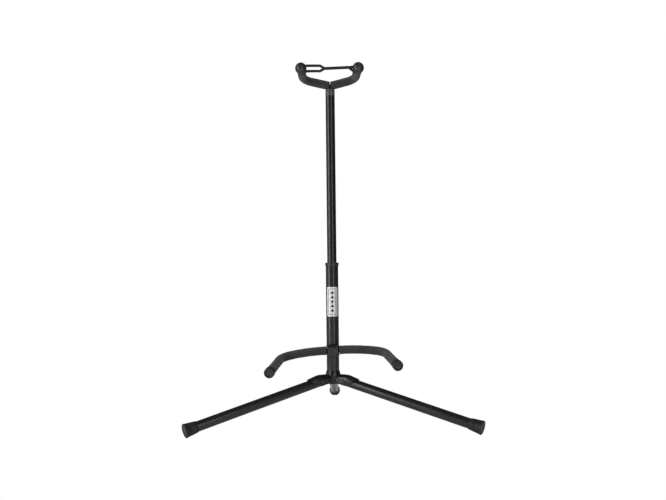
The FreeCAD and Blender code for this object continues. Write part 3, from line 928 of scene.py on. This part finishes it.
def addLabel():
    low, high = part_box("label")
    radius = roundRadius("lower_tube")
    tall = high.z - low.z
    half = math.asin(label["width"] / 2 * millimetre / radius)
    corner = label["corner"] * millimetre
    columns, rows = label["columns"], label["rows"]
    shape = bmesh.new()
    sheet = shape.loops.layers.uv.new("sheet")

    def addPoint(row, column, away):
        u, v = column / columns, row / rows
        fromEnd = min(v, 1 - v) * tall
        inset = 0.0
        if fromEnd < corner:
            inset = corner - math.sqrt(max(corner ** 2 - (corner - fromEnd) ** 2, 0.0))
        turn = (2 * u - 1) * (half - inset / radius)
        place = (mastX + away * math.sin(turn), mastY - away * math.cos(turn), low.z + v * tall)
        return shape.verts.new(place), u, v

    def addCell(cell):
        face = shape.faces.new([point[0] for point in cell])
        for loop, (_, u, v) in zip(face.loops, cell):
            loop[sheet].uv = (u, v)

    back, front = (
        [[addPoint(row, column, radius + proud) for column in range(columns + 1)] for row in range(rows + 1)]
        for proud in (label["lift"] * millimetre, label["proud"] * millimetre))
    for near, far in zip(front, front[1:]):
        for column in range(columns):
            addCell([near[column], near[column + 1], far[column + 1], far[column]])
    rim = [(0, c) for c in range(columns)] + [(r, columns) for r in range(rows)]
    rim += [(rows, c) for c in range(columns, 0, -1)] + [(r, 0) for r in range(rows, 0, -1)]
    for (r0, c0), (r1, c1) in zip(rim, rim[1:] + rim[:1]):
        addCell([back[r0][c0], back[r1][c1], front[r1][c1], front[r0][c0]])
    bmesh.ops.recalc_face_normals(shape, faces=shape.faces)
    mesh = bpy.data.meshes.new("frontLabel")
    shape.to_mesh(mesh)
    shape.free()
    piece = addPiece("frontLabel", mesh, "label")
    smoothShade(piece, label["smooth"])


addLabel()
print("stage: label made")


seam = {
    "radius": 0.85, "pitch": 1.5, "lumps": 0.24, "rough": 0.12, "roughScale": 700, "around": 14,
    "step": 0.35, "riseSteps": 12, "archSteps": 40, "ringSteps": 64, "tip": 0.1, "tipShoulder": 0.7,
}
seamPlaces = {  # azimuth in degrees, radius of the welded tube, half width, corner radius, top and bottom
    "leftBracket": (210.0, 14.7, 11.375, 9.0, 91.2, 77.0),
    "rightBracket": (330.0, 14.7, 11.375, 9.0, 91.2, 77.0),
    "rearBracket": (89.4, 14.7, 11.375, 9.0, 91.2, 77.0),
    "cradleHousing": (270.0, 12.7, 12.7, 5.0, 151.4, 131.0),
}


def saddleLine(azimuth, radius, halfWidth, edge, top, bottom):  # up one side, over the top and down again
    reach = math.asin(halfWidth / radius)
    shoulder = top - edge
    riseSteps, archSteps = seam["riseSteps"], seam["archSteps"]
    rise = [bottom + (shoulder - bottom) * index / riseSteps for index in range(riseSteps)]
    rows = [(reach, height) for height in rise]
    for index in range(archSteps + 1):
        turn = reach * (1 - 2 * index / archSteps)
        past = max(0.0, abs(radius * math.sin(turn)) - (halfWidth - edge))
        rows.append((turn, shoulder + math.sqrt(max(0.0, edge ** 2 - past ** 2))))
    rows += [(-reach, height) for height in reversed(rise)]
    facing = math.radians(azimuth)
    return [fromMast(radius * math.cos(facing + turn), -radius * math.sin(facing + turn), height)
            for turn, height in rows]


def bossLine():  # where the clamp's boss meets the round mast
    low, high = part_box("lock_boss")
    middle = (low.z + high.z) / 2 / millimetre
    radius = roundRadius("lock_boss") / millimetre
    mastRadius = roundRadius("lower_tube") / millimetre
    line = []
    for index in range(seam["ringSteps"] + 1):
        turn = 2 * math.pi * index / seam["ringSteps"]
        across, height = radius * math.cos(turn), middle + radius * math.sin(turn)
        line.append(fromMast(across, -math.sqrt(mastRadius ** 2 - across ** 2), height))
    return line


def addSeam(name, line):
    frames = pathFrames([(place, Vector()) for place in line])
    length = frames[-1][0]
    bead, step = seam["radius"] * millimetre, seam["step"] * millimetre
    steps = int(length / step)
    tip, shoulder = bead * seam["tip"], bead * seam["tipShoulder"]
    outline = [(0.0, tip), (step / 2, shoulder)]
    outline += [(length * index / steps, bead) for index in range(1, steps)]
    outline += [(length - step / 2, shoulder), (length, tip)]

    def beadRadius(distance, radius, spoke, pull):
        wave = abs(math.sin(math.pi * distance / (seam["pitch"] * millimetre) + spoke.x))
        grain = noise.noise(spoke * 2 + Vector((distance * seam["roughScale"], 0, 0)))
        return radius * (1 - seam["lumps"] * wave + seam["rough"] * grain)

    mesh = sleeveMesh(name, frames, outline, seam["around"], beadRadius)
    smoothShade(addPiece(name, mesh, "lower_tube", replaced=False))


for place, numbers in seamPlaces.items():
    addSeam(place + "Seam", saddleLine(*numbers))
addSeam("lockBossSeam", bossLine())
print("stage: weld seams laid")

roundings = {  # millimetres, made in this order
    "leg_bracket_left": 0.45, "leg_bracket_right": 0.45, "leg_bracket_rear": 0.45, "hub_sleeve": 0.5,
    "bottom_plug": 0.4, "collar_bush": 0.5, "cradle_bracket": 0.5, "lock_boss": 0.4, "lock_wing": 0.8,
    "yoke_socket": 0.3, "yoke_collar": 0.35, "leg_rivet_left": 0.6, "leg_rivet_right": 0.6,
    "leg_rivet_rear": 0.6, "mast_guide": 0.4,
}
for partName, width in roundings.items():
    roundedEdges(partName, width)
print("stage: hard parts rounded")
